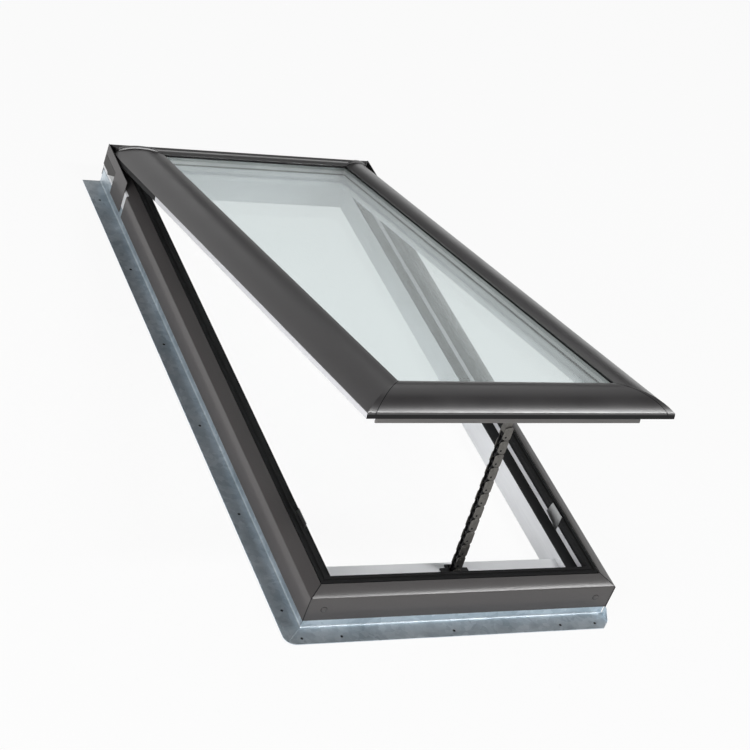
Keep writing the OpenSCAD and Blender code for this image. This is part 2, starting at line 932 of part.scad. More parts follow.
// Bracket under the bottom of the sash with two lugs for the cross pin
module chain_bracket() {
    lug_x = end_w / 2 + lug_gap;
    lug_r = cross_pin_d / 2 + 2;
    base_n = sash_depth + bracket_base;
    color("silver") on_sash() translate([chain_x, bracket_u, 0]) difference() {
        union() {
            sash_box(-lug_x - lug_t, lug_x + lug_t, -bracket_l / 2, bracket_l / 2, -base_n, -sash_depth);
            for (side = [0, 1]) mirror([side, 0, 0]) {
                sash_box(lug_x, lug_x + lug_t, -lug_r, lug_r, -bracket_drop, -sash_depth);
                translate([lug_x, 0, -bracket_drop]) rotate([0, 90, 0]) cylinder(r = lug_r, h = lug_t);
            }
        }
        translate([0, 0, -bracket_drop]) rotate([0, 90, 0])
            cylinder(d = cross_pin_d + 2 * running_fit, h = frame_w, center = true);
    }
}

module bracket_pin() {
    length = end_w + 2 * (lug_gap + lug_t) + 2;
    color("silver") on_sash() translate([chain_x, bracket_u, -bracket_drop]) rotate([0, 90, 0])
        cylinder(d = cross_pin_d, h = length, center = true);
}

// Places a piece that is drawn down the chain from the bracket's cross pin
module on_chain() {
    translate([chain_x, bracket_y, bracket_z]) rotate([-chain_tilt, 0, 0]) children();
}

// Outline of a push chain's plate: round at the back, with square shoulders that butt at the front
module plate_outline() {
    inset = plate_front - shoulder_r;
    low = -chain_pitch - plate_end;
    difference() {
        union() {
            circle(plate_back);
            translate([0, -chain_pitch]) circle(plate_back);
            translate([-plate_back, -chain_pitch]) square([plate_back, chain_pitch]);
            translate([0, low]) square([inset, plate_end - low]);
            translate([0, low + shoulder_r]) square([plate_front, plate_end - low - 2 * shoulder_r]);
            translate([inset, plate_end - shoulder_r]) circle(shoulder_r);
            translate([inset, low + shoulder_r]) circle(shoulder_r);
        }
        for (y = [0, -chain_pitch])
            translate([0, y]) circle(d = chain_pin_d + 2 * running_fit);
    }
}

// Pairs of plates on every second pin
module plate_pairs(first, inside) {
    for (k = [first : 2 : chain_pin_count - 2])
        for (side = [0, 1])
            mirror([0, side, 0]) translate([0, inside + plate_t, -first_pin - k * chain_pitch])
                rotate([90, 0, 0]) linear_extrude(plate_t) plate_outline();
}

module chain_end() {
    tongue_low = first_pin + end_r;
    color("dimgray") on_chain() difference() {
        union() {
            rotate([0, 90, 0]) cylinder(r = end_r, h = end_w, center = true);
            translate([-end_w / 2, -tongue_t / 2, -tongue_low]) cube([end_w, tongue_t, tongue_low]);
        }
        rotate([0, 90, 0]) cylinder(d = cross_pin_d + 2 * running_fit, h = 2 * end_w, center = true);
        translate([0, 0, -first_pin]) rotate([90, 0, 0])
            cylinder(d = chain_pin_d + 2 * running_fit, h = 2 * end_w, center = true);
    }
}

module chain_outer_plates() {
    color("gray") on_chain() plate_pairs(0, outer_plate_y);
}

module chain_inner_plates() {
    color("dimgray") on_chain() plate_pairs(1, inner_plate_y);
}

module chain_pins() {
    color("black") on_chain() for (k = [0 : chain_pin_count - 1])
        translate([0, 0, -first_pin - k * chain_pitch]) rotate([90, 0, 0])
            cylinder(d = chain_pin_d, h = chain_pin_l, center = true, $fn = 24);
}

module chain_rollers() {
    length = 2 * (inner_plate_y - fit);
    color("dimgray") on_chain() for (k = [1 : chain_pin_count - 1])
        translate([0, 0, -first_pin - k * chain_pitch]) rotate([90, 0, 0]) difference() {
            cylinder(d = roller_d, h = length, center = true, $fn = 24);
            cylinder(d = chain_pin_d + 2 * running_fit, h = length + 1, center = true, $fn = 24);
        }
}

frame_left();
frame_right();
frame_bottom();
frame_top();
cladding_left();
cladding_right();
cladding_bottom();
cladding_top();
hinge_cover_left();
hinge_cover_right();
hood_return_left();
hood_return_right();
flange_left();
flange_right();
flange_bottom();
frame_gasket();
ledge_gasket();
inner_trim_left();
inner_trim_right();
guide_clip_left();
guide_clip_right();
cladding_screws();
operator_housing();
operator_cover();
chain_guide();
hinge_leaf_frame_left();
hinge_leaf_frame_right();
hinge_pins();
hinge_leaf_sash_left();
hinge_leaf_sash_right();
sash_left();
sash_right();
sash_bottom();
sash_top();
sash_bottom_strip();
cover_left();
cover_right();
cover_bottom();
cover_top();
cover_corner_left();
cover_corner_right();
cover_cap_left();
cover_cap_right();
glass_outer();
glass_inner();
glass_spacer();
glazing_gasket();
glazing_tape();
chain_bracket();
bracket_pin();
chain_end();
chain_outer_plates();
chain_inner_plates();
chain_pins();
chain_rollers();
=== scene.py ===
import math
import bmesh
import bpy
import numpy as np
from mathutils import Matrix, Vector


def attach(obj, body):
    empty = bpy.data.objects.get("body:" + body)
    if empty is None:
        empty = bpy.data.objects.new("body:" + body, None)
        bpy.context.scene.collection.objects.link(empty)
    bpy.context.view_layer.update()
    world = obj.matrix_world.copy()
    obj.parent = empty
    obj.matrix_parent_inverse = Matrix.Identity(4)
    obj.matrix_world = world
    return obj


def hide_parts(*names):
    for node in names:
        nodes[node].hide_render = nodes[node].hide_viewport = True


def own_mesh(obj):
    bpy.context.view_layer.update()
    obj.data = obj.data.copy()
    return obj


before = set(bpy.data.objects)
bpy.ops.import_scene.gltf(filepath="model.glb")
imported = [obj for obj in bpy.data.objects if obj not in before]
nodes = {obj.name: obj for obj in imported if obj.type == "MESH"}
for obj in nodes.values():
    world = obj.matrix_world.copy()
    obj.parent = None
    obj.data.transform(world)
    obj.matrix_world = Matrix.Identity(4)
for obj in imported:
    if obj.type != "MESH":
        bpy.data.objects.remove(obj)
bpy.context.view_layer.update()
print("frame loaded:", len(nodes), "nodes")

# main sizes of the window in mm, the same as in the solids; places on the sash count from its hinge axis
window = {
    "halfWidth": 273.0, "front": -570.75, "back": 604.25,
    "hingeY": 554.25, "hingeZ": 71.8, "open": 15.7,  # hinge axis, and the opening in degrees
    "sashHalf": 267.2, "sashTop": 32.0, "sashBottom": -1118.4,  # outer edges of the sash covers
    "glassX": 190.4, "glassTop": -25.0, "glassBottom": -1051.8,  # edges of the glass that shows
}
halfWidth = window["halfWidth"]
front = window["front"]
back = window["back"]
sashHalf = window["sashHalf"]


# sRGB hex to linear, with alpha 1: a straight line for the darkest values and a power of 2.4 above them
def linear(hexText):
    raw = np.array([int(hexText[i:i + 2], 16) for i in (1, 3, 5)]) / 255
    flat = np.where(raw <= 0.04045, raw / 12.92, ((raw + 0.055) / 1.055) ** 2.4)
    return (*flat.tolist(), 1.0)


# one node with its settings, values and links; ends gives a colour ramp's two places and colours
def add(tree, kind, values=None, links=None, ends=(), **settings):
    made = tree.nodes.new("ShaderNode" + kind)
    for key, value in settings.items():
        setattr(made, key, value)
    for key, value in (values or {}).items():
        made.inputs[key].default_value = value
    for key, source in (links or {}).items():
        tree.links.new(source, made.inputs[key])
    for i, (place, hexText) in enumerate(ends):
        made.color_ramp.elements[i].position = place
        made.color_ramp.elements[i].color = linear(hexText)
    return made


def perMetre(millimetres):  # texture scale of a pattern of that size: 1000 / size
    return 1000.0 / millimetres


def newSurface(name, values):  # a material with fixed values on its shader's own sockets
    made = bpy.data.materials.new(name)
    made.use_nodes = True
    shader = made.node_tree.nodes["Principled BSDF"]
    for key, value in values.items():
        shader.inputs[key].default_value = value
    return made, made.node_tree, shader


def feed(tree, node, sources):  # links into a node's sockets
    for key, source in sources.items():
        tree.links.new(source, node.inputs[key])


# A finish: two close colours mixed half by a soft cloud and half by the surface's grain, roughness from
# the cloud, and a bump from the grain. stretch lengthens the grain along an axis, as drawing or wood does.
# Grain finer than about half a millimetre on the real thing is drawn coarser, so that it shows.
def makeFinish(name, dark, light, cloudMm, rough, grainMm, bumpMm,
               metallic=0.0, stretch=(1, 1, 1), specular=0.5, coat=0.0):
    made, tree, shader = newSurface(name, {
        "Metallic": metallic, "Specular IOR Level": specular, "Coat Weight": coat, "Coat Roughness": 0.14})
    place = add(tree, "TexCoord").outputs["Object"]
    drawn = add(tree, "Mapping", {"Scale": stretch}, {"Vector": place}).outputs["Vector"]
    cloud = add(tree, "TexNoise", {"Scale": perMetre(cloudMm), "Detail": 4.0, "Roughness": 0.6},
                {"Vector": place}).outputs["Fac"]
    grain = add(tree, "TexNoise", {"Scale": perMetre(grainMm), "Detail": 3.0, "Roughness": 0.65},
                {"Vector": drawn}).outputs["Fac"]
    blend = add(tree, "Mix", {0: 0.5}, {"A": cloud, "B": grain}, data_type="FLOAT")
    tint = add(tree, "ValToRGB", None, {"Fac": blend.outputs["Result"]}, ((0.36, dark), (0.64, light)))
    sheen = add(tree, "MapRange", {"From Min": 0.3, "From Max": 0.7, "To Min": rough[0], "To Max": rough[1]},
                {"Value": cloud})
    bump = add(tree, "Bump", {"Strength": 0.6, "Distance": bumpMm / 1000}, {"Height": grain})
    feed(tree, shader, {"Base Color": tint.outputs["Color"], "Roughness": sheen.outputs["Result"],
                        "Normal": bump.outputs["Normal"]})
    return made


# powder-coated aluminium of the sash covers: warm dark grey, satin, with a fine orange peel
coverPaint = makeFinish("powderCoatedAluminium", "#2e2c2d", "#363435", cloudMm=60, rough=(0.28, 0.34),
                        grainMm=3.0, bumpMm=0.004, specular=1.0)
# matt-painted aluminium of the frame cladding: browner and rougher than the covers, with a thin glossy skin
claddingPaint = makeFinish("mattPaintedAluminium", "#363232", "#3d3939", cloudMm=80, rough=(0.64, 0.72),
                           grainMm=2.0, bumpMm=0.006, specular=0.9, coat=0.4)
# the same paint on the hood's short returns, made a touch darker as painted shade
paintedShadeCladding = makeFinish("mattPaintedAluminiumPaintedShade", "#262322", "#2d2a28", cloudMm=80, rough=(0.46, 0.54),
                         grainMm=1.2, bumpMm=0.015)
# grey-painted strip below the sash: lighter and plainer than the covers
greyPaint = makeFinish("greyPaintedAluminium", "#6e6c6a", "#787674", cloudMm=50, rough=(0.45, 0.55),
                       grainMm=1.2, bumpMm=0.015)
# EPDM rubber: near black and dull, with a powdery bloom
rubber = makeFinish("epdmRubber", "#121213", "#1d1d1e", cloudMm=25, rough=(0.6, 0.75),
                    grainMm=0.8, bumpMm=0.02, specular=0.25)
# white lacquer on pine: the grain only shows as faint raised lines along the wood
lacquerAlongY = makeFinish("whiteLacqueredPine", "#e1e2e5", "#eaebee", cloudMm=90, rough=(0.32, 0.42),
                           grainMm=4.0, bumpMm=0.02, stretch=(1, 0.05, 1))
lacquerAlongX = makeFinish("whiteLacqueredPineAcross", "#e1e2e5", "#eaebee", cloudMm=90, rough=(0.32, 0.42),
                           grainMm=4.0, bumpMm=0.02, stretch=(0.05, 1, 1))
# moulded white ABS of the operator cover: very even, with a fine spark-eroded grain
whiteAbs = makeFinish("mouldedWhiteAbs", "#eeeff1", "#f4f5f7", cloudMm=50, rough=(0.4, 0.5),
                      grainMm=0.7, bumpMm=0.02)
# pale grey lacquer of the strips along the sash and of the inner trim: even and satin
paleLacquer = makeFinish("paleGreyLacquer", "#cfcfd3", "#d8d8dc", cloudMm=60, rough=(0.4, 0.5),
                         grainMm=1.0, bumpMm=0.01)
# black nylon of the chain guide and the operator housing: matt, moulded
blackNylon = makeFinish("mouldedBlackNylon", "#151516", "#1f1f20", cloudMm=30, rough=(0.5, 0.62),
                        grainMm=0.8, bumpMm=0.03)
# zinc drawn dark and dull for the nail holes: painted shade standing for the shade inside the holes
holeShadeZinc = makeFinish("piercedZincPaintedShade", "#161719", "#232527", cloudMm=6, rough=(0.5, 0.65),
                      grainMm=0.8, bumpMm=0.03, metallic=0.5)
# mill-finish aluminium of the glass spacer: pale grey, with fine lines from drawing
millAluminium = makeFinish("millFinishAluminium", "#b4b6b5", "#c4c6c5", cloudMm=40, rough=(0.34, 0.46),
                           grainMm=1.5, bumpMm=0.01, metallic=1.0, stretch=(1, 0.03, 1))
# zinc-plated steel of hinges, clips and bracket: bright, with a faint clouding from the bath
zincSteel = makeFinish("zincPlatedSteel", "#a3a5a6", "#bcbdbd", cloudMm=12, rough=(0.26, 0.4),
                       grainMm=0.9, bumpMm=0.01, metallic=1.0)
# phosphated steel of the chain's outer plates: dark grey with a slightly oily sheen
chainSteel = makeFinish("phosphatedSteel", "#5a5855", "#73716d", cloudMm=6, rough=(0.36, 0.5),
                        grainMm=1.4, bumpMm=0.05, metallic=0.8)
# oiled steel of the rollers, pins and inner plates: nearly black, and glossier than the outer plates
chainDark = makeFinish("oiledRollerSteel", "#1c1c1d", "#2c2c2d", cloudMm=8, rough=(0.3, 0.42),
                       grainMm=0.7, bumpMm=0.02, metallic=0.8)

# galvanised sheet: zinc crystals, each with its own tone and sheen, under a broad cloud from the bath,
# so that the sheet flickers from pale to blue-grey
zinc = {"crystalMm": 9, "warpMm": 14, "warpBy": 0.012, "cloudMm": 70}


# the crystals are Voronoi cells whose places are moved by a noise, which breaks up their straight edges
def makeGalvanised():
    made, tree, shader = newSurface("galvanisedSheet", {"Metallic": 1.0})
    place = add(tree, "TexCoord").outputs["Object"]
    warp = add(tree, "TexNoise", {"Scale": perMetre(zinc["warpMm"]), "Detail": 2.0}, {"Vector": place})
    bent = add(tree, "VectorMath", {1: (zinc["warpBy"],) * 3}, {0: warp.outputs["Color"]},
               operation="MULTIPLY")
    moved = add(tree, "VectorMath", None, {0: place, 1: bent.outputs["Vector"]}, operation="ADD")
    crystal = add(tree, "TexVoronoi", {"Scale": perMetre(zinc["crystalMm"])},
                  {"Vector": moved.outputs["Vector"]})
    cloud = add(tree, "TexNoise", {"Scale": perMetre(zinc["cloudMm"]), "Detail": 5.0}, {"Vector": place})
    tone = add(tree, "SeparateColor", None, {"Color": crystal.outputs["Color"]})
    blend = add(tree, "Mix", {0: 0.75}, {"A": tone.outputs[0], "B": cloud.outputs["Fac"]}, data_type="FLOAT")
    tint = add(tree, "ValToRGB", None, {"Fac": blend.outputs["Result"]}, ((0.2, "#aebcc5"), (0.8, "#e4ecf2")))
    sheen = add(tree, "MapRange", {"To Min": 0.42, "To Max": 0.52}, {"Value": tone.outputs[1]})
    bump = add(tree, "Bump", {"Strength": 0.2, "Distance": 0.0001}, {"Height": blend.outputs["Result"]})
    feed(tree, shader, {"Base Color": tint.outputs["Color"], "Roughness": sheen.outputs["Result"],
                        "Normal": bump.outputs["Normal"]})
    return made


# float glass: clear with the faint green of iron, which varies a little over the pane
pane = {"cloudMm": 400, "ior": 1.52}


# shadow rays pass straight through the glass, so that shadows under it stay pale
def makeGlass():
    made, tree, shader = newSurface("floatGlass", {
        "Transmission Weight": 1.0, "Roughness": 0.0, "IOR": pane["ior"]})
    place = add(tree, "TexCoord").outputs["Object"]
    cloud = add(tree, "TexNoise", {"Scale": perMetre(pane["cloudMm"]), "Detail": 1.0}, {"Vector": place})
    tint = add(tree, "ValToRGB", None, {"Fac": cloud.outputs["Fac"]}, ((0.0, "#f6fbfb"), (1.0, "#fafefe")))
    feed(tree, shader, {"Base Color": tint.outputs["Color"]})
    clear = add(tree, "BsdfTransparent", {"Color": linear("#e2e3e3")})
    shadow = add(tree, "LightPath").outputs["Is Shadow Ray"]
    both = add(tree, "MixShader", None, {0: shadow, 1: shader.outputs["BSDF"], 2: clear.outputs["BSDF"]})
    feed(tree, tree.nodes["Material Output"], {"Surface": both.outputs["Shader"]})
    return made


galvanised = makeGalvanised()
floatGlass = makeGlass()
print("materials made:", len(bpy.data.materials))

# where the pieces of each body hang from, in mm, and their lean in degrees
hangs = {
    "frame": ((0.0, 0.0, 0.0), 0.0),
    "sash": ((0.0, window["hingeY"], window["hingeZ"]), window["open"]),
}
# edges in degrees: where shading breaks, where a bevel starts and what still counts as flat; then bevel faces
edges = {"sharp": 32, "bevelFrom": 40, "flat": 1, "bevelSteps": 2}
tiny = 1e-9  # keeps divisions clear of zero
onePoint = 1e-4  # points of a path closer than this, in mm, are one
merge = {"made": 1e-7, "solid": 1e-6}  # the same for the points of a mesh, in metres
mitreLimit = 0.3  # keeps a sharp mitre short


# hung points: y and z turn about the x axis by the lean, and all three then move to the place
def hung(points, place, lean):
    a = math.radians(lean)
    x, y, z = np.moveaxis(np.asarray(points, float), -1, 0)
    return np.stack([x, y * math.cos(a) + z * math.sin(a), z * math.cos(a) - y * math.sin(a)], -1) + place


# quads between neighbouring rows of points, each row a closed outline; closed joins the last row to the first
def gridFaces(rows, cols, closed):
    r, c = np.meshgrid(np.arange(rows if closed else rows - 1), np.arange(cols), indexing="ij")
    nextRow = (r + 1) % rows
    nextCol = (c + 1) % cols
    quads = np.stack([r * cols + c, r * cols + nextCol, nextRow * cols + nextCol, nextRow * cols + c], -1)
    return quads.reshape(-1, 4).tolist()


# path with circular bends: each corner, given as place and bend radius, becomes the arc between its two
# tangent points, as a rational curve of second degree weighted by the sine of half the corner's angle
def rounded(corners, steps=6):
    given = np.array(corners, float)
    p = given[:, :2]
    radius = given[:, 2]
    before = np.vstack([p[:1], p[:-1]]) - p
    after = np.vstack([p[1:], p[-1:]]) - p
    before /= np.maximum(np.linalg.norm(before, axis=1, keepdims=True), tiny)
    after /= np.maximum(np.linalg.norm(after, axis=1, keepdims=True), tiny)
    half = np.arccos(np.clip((before * after).sum(1), -1, 1)) / 2
    reach = np.where(radius > 0, radius / np.maximum(np.tan(half), tiny), 0)[:, None]
    first = (p + before * reach)[:, None]
    last = (p + after * reach)[:, None]
    s = np.linspace(0, 1, steps)[None, :, None]
    a = (1 - s) ** 2
    b = 2 * s * (1 - s) * np.sin(half)[:, None, None]
    c = s ** 2
    curve = ((a * first + b * p[:, None] + c * last) / (a + b + c)).reshape(-1, 2)
    keep = np.ones(len(curve), bool)
    keep[1:] = np.linalg.norm(np.diff(curve, axis=0), axis=1) > onePoint
    return curve[keep]


# path moved to its right by a distance: each corner goes along the mean of its two sides' normals, as a mitre
# does, by the distance divided by the cosine between that mean and a side's normal
def movedPath(path, distance):
    d = np.diff(path, axis=0)
    d /= np.linalg.norm(d, axis=1, keepdims=True)
    side = np.stack([d[:, 1], -d[:, 0]], 1)
    before = np.vstack([side[:1], side])
    mean = before + np.vstack([side, side[-1:]])
    mean /= np.linalg.norm(mean, axis=1, keepdims=True)
    slant = np.maximum((mean * before).sum(1, keepdims=True), mitreLimit)
    return path + mean * distance / slant


# closed outline of a folded sheet: the path, and back along the path moved inward by the thickness
def sheetLoop(path, thickness):
    return np.vstack([path, movedPath(path, thickness)[::-1]])


def runThrough(*rows):  # closed outline carried through a row of places, with flat ends
    count = len(rows[0])
    total = len(rows)
    ends = [list(range(count)), list(range((total - 1) * count, total * count))]
    return np.vstack(rows), gridFaces(total, count, False) + ends


# closed frame: the outline, as distance inward and height, carried round the four mitred corners
# of a rectangle
def runRound(loop, left, right, low, high):
    w = loop[:, 0]
    x = np.stack([left + w, right - w, right - w, left + w])
    y = np.stack([low + w, low + w, high - w, high - w])
    z = np.broadcast_to(loop[:, 1], x.shape)
    return np.stack([x, y, z], -1).reshape(-1, 3), gridFaces(4, len(loop), True)


# turned piece: radius and height along the profile, turned round the height axis;
# a hollow one closes on itself, and any other has flat ends
def turned(profile, sides=24, hollow=False):
    radius, height = np.array(profile, float).T
    a = np.linspace(0, 2 * math.pi, sides, endpoint=False)
    z = np.repeat(height[:, None], sides, 1)
    rings = np.stack([np.outer(radius, np.cos(a)), np.outer(radius, np.sin(a)), z], -1)
    if hollow:
        return rings.reshape(-1, 3), gridFaces(len(radius), sides, True)
    return runThrough(*rings)


def mirrored(part):  # x changes sign
    return part[0] * np.array([-1, 1, 1]), part[1]


# a mesh becomes a piece: smooth apart from its sharp edges, in its material, on its body
def settle(mesh, name, body, material, replaced):
    mesh.polygons.foreach_set("use_smooth", np.ones(len(mesh.polygons), bool))
    mesh.set_sharp_from_angle(angle=math.radians(edges["sharp"]))
    mesh.materials.clear()
    mesh.materials.append(material)
    made = bpy.data.objects.new(name, mesh)
    bpy.context.scene.collection.objects.link(made)
    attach(made, body)
    if replaced:
        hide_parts(*replaced)
    return made


# one or more shapes, in mm, hung on their body in one mesh with outward faces
def makePiece(name, parts, body, material, replaced=()):
    verts = []
    faces = []
    start = 0
    for points, polys in parts:
        verts.append(hung(points, *hangs[body]) / 1000)
        faces += [[start + i for i in poly] for poly in polys]
        start += len(points)
    mesh = bpy.data.meshes.new(name)
    mesh.from_pydata(np.vstack(verts).tolist(), [], faces)
    work = bmesh.new()
    work.from_mesh(mesh)
    bmesh.ops.remove_doubles(work, verts=work.verts, dist=merge["made"])
    bmesh.ops.recalc_face_normals(work, faces=work.faces)
    work.to_mesh(mesh)
    work.free()
    return settle(mesh, name, body, material, replaced)


# a solid with its edges broken: a merged copy of the node with a small bevel of that width in mm
def softCopy(node, name, width, material, body):
    mesh = nodes[node].data.copy()
    mesh.name = name
    work = bmesh.new()
    work.from_mesh(mesh)
    bmesh.ops.remove_doubles(work, verts=work.verts, dist=merge["solid"])
    flat = math.radians(edges["flat"])
    bmesh.ops.dissolve_limit(work, angle_limit=flat, verts=work.verts, edges=work.edges)
    work.to_mesh(mesh)
    work.free()
    made = settle(mesh, name, body, material, [node])
    bevel = made.modifiers.new("edge", "BEVEL")
    bevel.width = width / 1000
    bevel.segments = edges["bevelSteps"]
    bevel.limit_method = "ANGLE"
    bevel.angle_limit = math.radians(edges["bevelFrom"])
    bevel.harden_normals = True


# wooden frame and sash: width of the broken edges in mm, and lacquer with the grain along each member
wood = {
    "edge": 1.5,
    "finish": {"left": lacquerAlongY, "right": lacquerAlongY, "bottom": lacquerAlongX, "top": lacquerAlongX},
}
for end, lacquer in wood["finish"].items():
    softCopy("frame_" + end, "frameWood_" + end, wood["edge"], lacquer, "frame")
    softCopy("sash_" + end, "sashWood_" + end, wood["edge"], lacquer, "sash")
print("wood done")

# smaller solids: width of the broken edges in mm, finish, slot and body
small = {
    "operator_cover": (1.2, whiteAbs, "white_plastic", "frame"),
    "operator_housing": (1.5, blackNylon, "black_plastic", "frame"),
    "chain_guide": (0.8, blackNylon, "black_plastic", "frame"),
    "inner_trim_left": (0.4, paleLacquer, "bare_aluminium", "frame"),
    "inner_trim_right": (0.4, paleLacquer, "bare_aluminium", "frame"),
    "guide_clip_left": (0.25, zincSteel, "bright_steel", "frame"),
    "guide_clip_right": (0.25, zincSteel, "bright_steel", "frame"),
    "hinge_cover_left": (0.35, claddingPaint, "cladding", "frame"),
    "hinge_cover_right": (0.35, claddingPaint, "cladding", "frame"),
    # the hood returns take the darker copy of the cladding paint, as painted shade
    "hood_return_left": (0.35, paintedShadeCladding, "cladding", "frame"),
    "hood_return_right": (0.35, paintedShadeCladding, "cladding", "frame"),
    "hinge_leaf_frame_left": (0.4, zincSteel, "bright_steel", "frame"),
    "hinge_leaf_frame_right": (0.4, zincSteel, "bright_steel", "frame"),
    "hinge_leaf_sash_left": (0.3, zincSteel, "bright_steel", "sash"),
    "hinge_leaf_sash_right": (0.3, zincSteel, "bright_steel", "sash"),
    "sash_bottom_strip": (0.5, greyPaint, "bare_aluminium", "sash"),
    "chain_bracket": (0.4, zincSteel, "bright_steel", "sash"),
    "chain_end": (0.5, chainSteel, "chain_steel", "chain"),
}
for node, (width, material, slot, body) in small.items():
    softCopy(node, node + "_soft", width, material, body)
print("small solids done:", len(small))

# solids that stay as they are and take a finish
kept = {
    "flange_left": galvanised, "flange_right": galvanised, "flange_bottom": galvanised,
    "ledge_gasket": rubber, "glazing_tape": rubber, "glass_spacer": millAluminium,
    "hinge_pins": zincSteel, "bracket_pin": zincSteel,
    "glass_outer": floatGlass, "glass_inner": floatGlass,
}
for node, material in kept.items():
    mesh = nodes[node].data
    mesh.materials.clear()
    mesh.materials.append(material)

# nail holes: pierced dimples set in the holes of the flange, drawn dark as painted shade inside the holes
nail = {
    "radius": 1.9, "lip": 2.5, "throat": 0.6, "sides": 16,
    "low": 0.1, "throatLow": 0.2, "throatHigh": 0.5, "bevelLow": 1.1, "sheet": 1.2, "proud": 0.12,
    # places: lines out from the frame, and holes along them
    "sideLine": 16.5, "sidePitch": 214.0, "sideCount": 6, "leftFirst": 37.4, "rightFirst": 67.0,
    "frontLine": 22.0, "frontPlaces": (-277.0, -210.0, -14.0, 182.0, 248.0),
}
dimple = turned([[nail["throat"], nail["throatLow"]], [nail["throat"], nail["throatHigh"]],
                 [nail["radius"], nail["bevelLow"]], [nail["lip"], nail["sheet"] + nail["proud"]],
                 [nail["lip"], nail["sheet"]], [nail["radius"], nail["low"]]], nail["sides"])
sideSteps = nail["sidePitch"] * np.arange(nail["sideCount"])
sideX = np.full(nail["sideCount"], halfWidth + nail["sideLine"])
leftHoles = np.stack([-sideX, front + nail["leftFirst"] + sideSteps], 1)
rightHoles = np.stack([sideX, front + nail["rightFirst"] + sideSteps], 1)
frontHoles = [[x, front - nail["frontLine"]] for x in nail["frontPlaces"]]
dimples = [(dimple[0] + [x, y, 0], dimple[1]) for x, y in np.vstack([leftHoles, rightHoles, frontHoles])]
# the dimples are painted shade: a dark piece where the holes are only in shade
makePiece("nailDimplesPaintedShade", dimples, "frame", holeShadeZinc)

# frame cladding: folded sheet, mitred at the corners; beside the hinges the sides have only their slope
cladding = {
    "sheet": 1.2, "low": 16.0, "fold": 61.5, "top": 71.0, "slope": 22.0, "bend": 2.2,
    "hemIn": 0.7, "hemDown": 1.4, "hemBend": 0.8, "sideEnd": 1034.0, "slopeStart": 4.9, "gap": 0.02,
    "hood": 83.5, "hoodDepth": 12.0, "hoodBend": 2.5, "hoodFootBend": 1.5, "hoodInset": 1.6,
    "seam": 0.25, "joint": 1.0, "jointProud": 0.08,
}


def sidePoints(loop, y):  # outline on the left side, at one place along it or at one for each point
    return np.stack([loop[:, 0] - halfWidth, np.broadcast_to(y, len(loop)), loop[:, 1]], -1)


def endPoints(loop, x, y, sign):  # outline across the frame at a place x, measured inward from y
    return np.stack([np.broadcast_to(x, len(loop)), y + sign * loop[:, 0], loop[:, 1]], -1)


def slopeHeight(inset):  # straight line from the fold to the top
    return cladding["fold"] + inset * (cladding["top"] - cladding["fold"]) / cladding["slope"]


lowEdge = [0, cladding["low"], 0]
faceFold = [0, cladding["fold"], cladding["bend"]]
crest = [cladding["slope"], cladding["top"], cladding["hemBend"]]
hem = [cladding["slope"] + cladding["hemIn"], cladding["top"] - cladding["hemDown"], 0]
slopeStart = [cladding["slopeStart"], slopeHeight(cladding["slopeStart"]), 0]
hoodEdge = [0, cladding["hood"], cladding["hoodBend"]]
hoodBack = [cladding["hoodDepth"], cladding["hood"], cladding["hoodBend"]]
hoodFoot = [cladding["hoodDepth"], slopeHeight(cladding["hoodDepth"]), cladding["hoodFootBend"]]
faceLoop = sheetLoop(rounded([lowEdge, faceFold, crest, hem]), cladding["sheet"])
slopeLoop = sheetLoop(rounded([slopeStart, crest, hem]), cladding["sheet"])
hoodLoop = sheetLoop(rounded([lowEdge, hoodEdge, hoodBack, hoodFoot, crest, hem]), cladding["sheet"])
faceEnd = front + cladding["sideEnd"]
leftFace = runThrough(sidePoints(faceLoop, front + faceLoop[:, 0] + cladding["seam"]),
                      sidePoints(faceLoop, faceEnd))
leftSlope = runThrough(sidePoints(slopeLoop, faceEnd + cladding["gap"]),
                       sidePoints(slopeLoop, back - slopeLoop[:, 0] - cladding["seam"]))
bottomEnd = halfWidth - faceLoop[:, 0] - cladding["seam"]
topEnd = halfWidth - np.maximum(hoodLoop[:, 0], cladding["hoodInset"]) - cladding["seam"]
bottomLength = runThrough(*[endPoints(faceLoop, side * bottomEnd, front, 1) for side in (-1, 1)])
topLength = runThrough(*[endPoints(hoodLoop, side * topEnd, back, -1) for side in (-1, 1)])
claddingLengths = {
    "Left": [leftFace, leftSlope], "Right": [mirrored(leftFace), mirrored(leftSlope)],
    "Bottom": [bottomLength], "Top": [topLength],
}
for end, parts in claddingLengths.items():
    makePiece("cladding" + end, parts, "frame", claddingPaint, ["cladding_" + end.lower()])

# dark sealing in the front corner joints of the cladding, a hair proud of the sheet
jointPath = rounded([lowEdge, faceFold, [cladding["slope"], cladding["top"], 0]])
jointLoop = sheetLoop(movedPath(jointPath, -cladding["jointProud"]), cladding["sheet"])
jointMiddle = front + jointLoop[:, 0]
frontJoint = runThrough(sidePoints(jointLoop, jointMiddle - cladding["joint"]),
                        sidePoints(jointLoop, jointMiddle + cladding["joint"]))
makePiece("claddingJoints", [frontJoint, mirrored(frontJoint)], "frame", rubber)
print("cladding done")

# screw caps on the bottom face: low domes of a quarter circle's sine and cosine, each in a flat rubber ring
screwCap = {
    "radius": 4.5, "height": 1.2, "wall": 0.35, "close": 0.96, "points": 7, "x": 244.0, "z": 38.75,
    "ringIn": 4.6, "ringOut": 5.4, "ringHeight": 0.12,
}


def onFront(part, side):  # turned about its own axis, then laid against the front face on the left or right
    x, y, z = part[0].T
    return np.stack([x + side * screwCap["x"], front - z, y + screwCap["z"]], 1), part[1]


